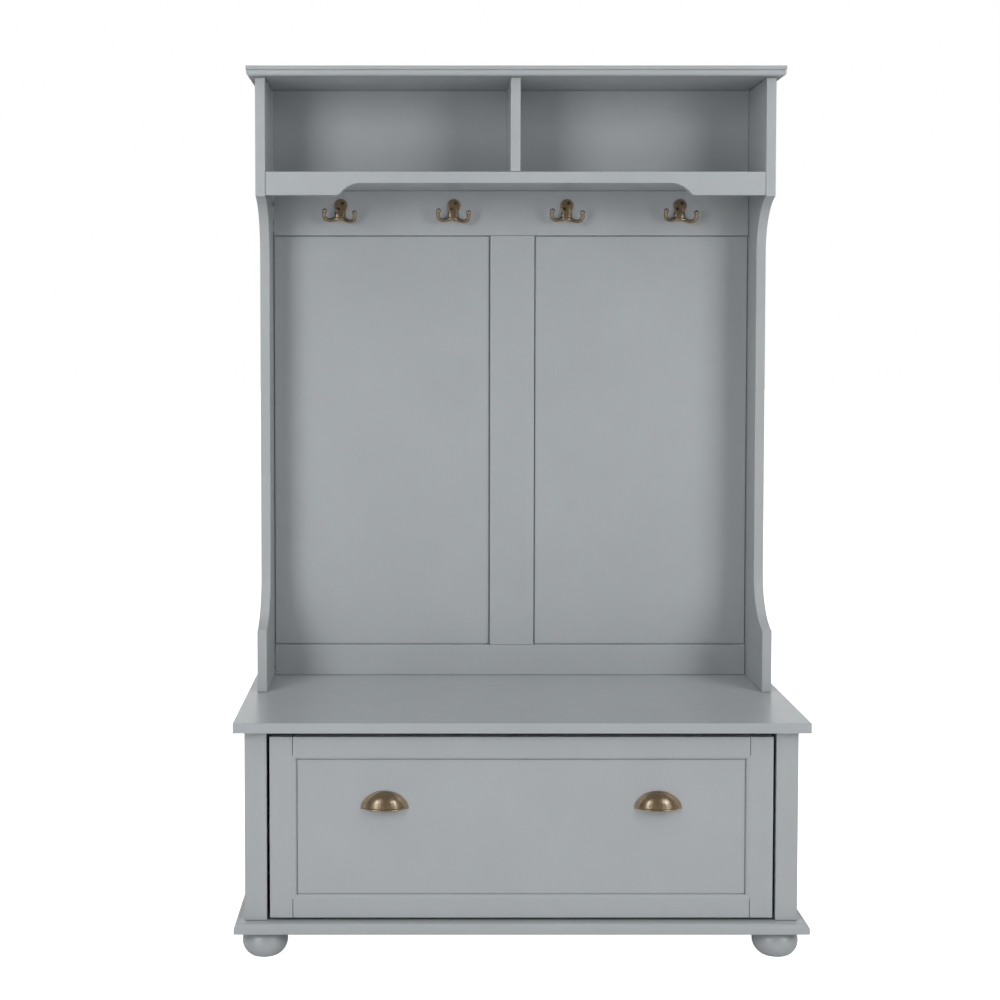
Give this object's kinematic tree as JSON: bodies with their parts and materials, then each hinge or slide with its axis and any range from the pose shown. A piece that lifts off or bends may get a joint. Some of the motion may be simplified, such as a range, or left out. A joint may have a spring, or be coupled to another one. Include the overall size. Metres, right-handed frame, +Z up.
{
  "type": "hall tree with hooks",
  "caption": "Hall tree with a wide drawer under a bench, a panelled back with coat hooks, and a shelf with cubbies under a moulded top.",
  "frame": {"origin": "on the floor under the middle of the overall box, midway between left and right and between front and back", "axes": "+Z up, +X to the right seen from the front, +Y towards the wall; the drawer opens towards -Y"},
  "size_m": [1, 0.4, 1.583],
  "materials": {
    "grey_paint": "satin grey paint on board",
    "drawer_box_board": "light grey laminate",
    "inner_board": "matt grey paint on board",
    "antique_brass": "antiqued and polished",
    "bronzed_screw": "dark bronzed",
    "zinc_screw": "bright zinc",
    "slide_steel": "zinc plated",
    "beech_dowel": "bare beech"
  },
  "bodies": {
    "root": {"apron": "grey_paint", "back_panel_left": "grey_paint", "back_panel_right": "grey_paint", "base_back_panel": "inner_board", "base_post_left": "grey_paint", "base_post_right": "grey_paint", "base_screws": "zinc_screw", "base_side_left": "grey_paint", "base_side_right": "grey_paint", "bench_screws": "zinc_screw", "bench_stretcher_back": "inner_board", "bench_stretcher_front": "inner_board", "bench_top": "grey_paint", "bottom_rail": "grey_paint", "centre_stile": "grey_paint", "coat_hook_1": "antique_brass", "coat_hook_2": "antique_brass", "coat_hook_3": "antique_brass", "coat_hook_4": "antique_brass", "cubby_back_panel": "grey_paint", "cubby_divider": "grey_paint", "dowels": "beech_dowel", "foot_back_left": "grey_paint", "foot_back_right": "grey_paint", "foot_bolts": "zinc_screw", "foot_front_left": "grey_paint", "foot_front_right": "grey_paint", "hook_rail": "grey_paint", "hook_screws": "bronzed_screw", "plinth_board": "grey_paint", "shelf": "grey_paint", "side_screws": "zinc_screw", "slide_batten_left": "inner_board", "slide_batten_right": "inner_board", "slide_outer_left": "slide_steel", "slide_outer_right": "slide_steel", "top_board": "grey_paint", "upper_side_left": "grey_paint", "upper_side_right": "grey_paint"},
    "drawer": {"drawer_stile_left": "grey_paint", "drawer_stile_right": "grey_paint", "drawer_rail_top": "grey_paint", "drawer_rail_bottom": "grey_paint", "drawer_panel": "grey_paint", "drawer_box_front": "drawer_box_board", "drawer_side_left": "drawer_box_board", "drawer_side_right": "drawer_box_board", "drawer_back": "drawer_box_board", "drawer_bottom": "drawer_box_board", "slide_inner_left": "slide_steel", "slide_inner_right": "slide_steel", "pull_left": "antique_brass", "pull_right": "antique_brass", "pull_screws": "zinc_screw", "drawer_screws": "zinc_screw", "front_screws": "zinc_screw"},
    "slide_middle_left": {"slide_middle_left": "slide_steel"},
    "slide_middle_right": {"slide_middle_right": "slide_steel"}
  },
  "joints": [
    {"name": "drawer_slide", "type": "slide", "parent": "root", "child": "drawer", "axis": [0, -1, 0], "range_m": [0, 0.3]},
    {"name": "middle_slide_left", "type": "slide", "parent": "root", "child": "slide_middle_left", "axis": [0, -1, 0], "range_m": [0, 0.15]},
    {"name": "middle_slide_right", "type": "slide", "parent": "root", "child": "slide_middle_right", "axis": [0, -1, 0], "range_m": [0, 0.15]}
  ],
  "couplings": [
    {"joint": "middle_slide_left", "follows": "drawer_slide", "ratio": 0.5},
    {"joint": "middle_slide_right", "follows": "drawer_slide", "ratio": 0.5}
  ]
}
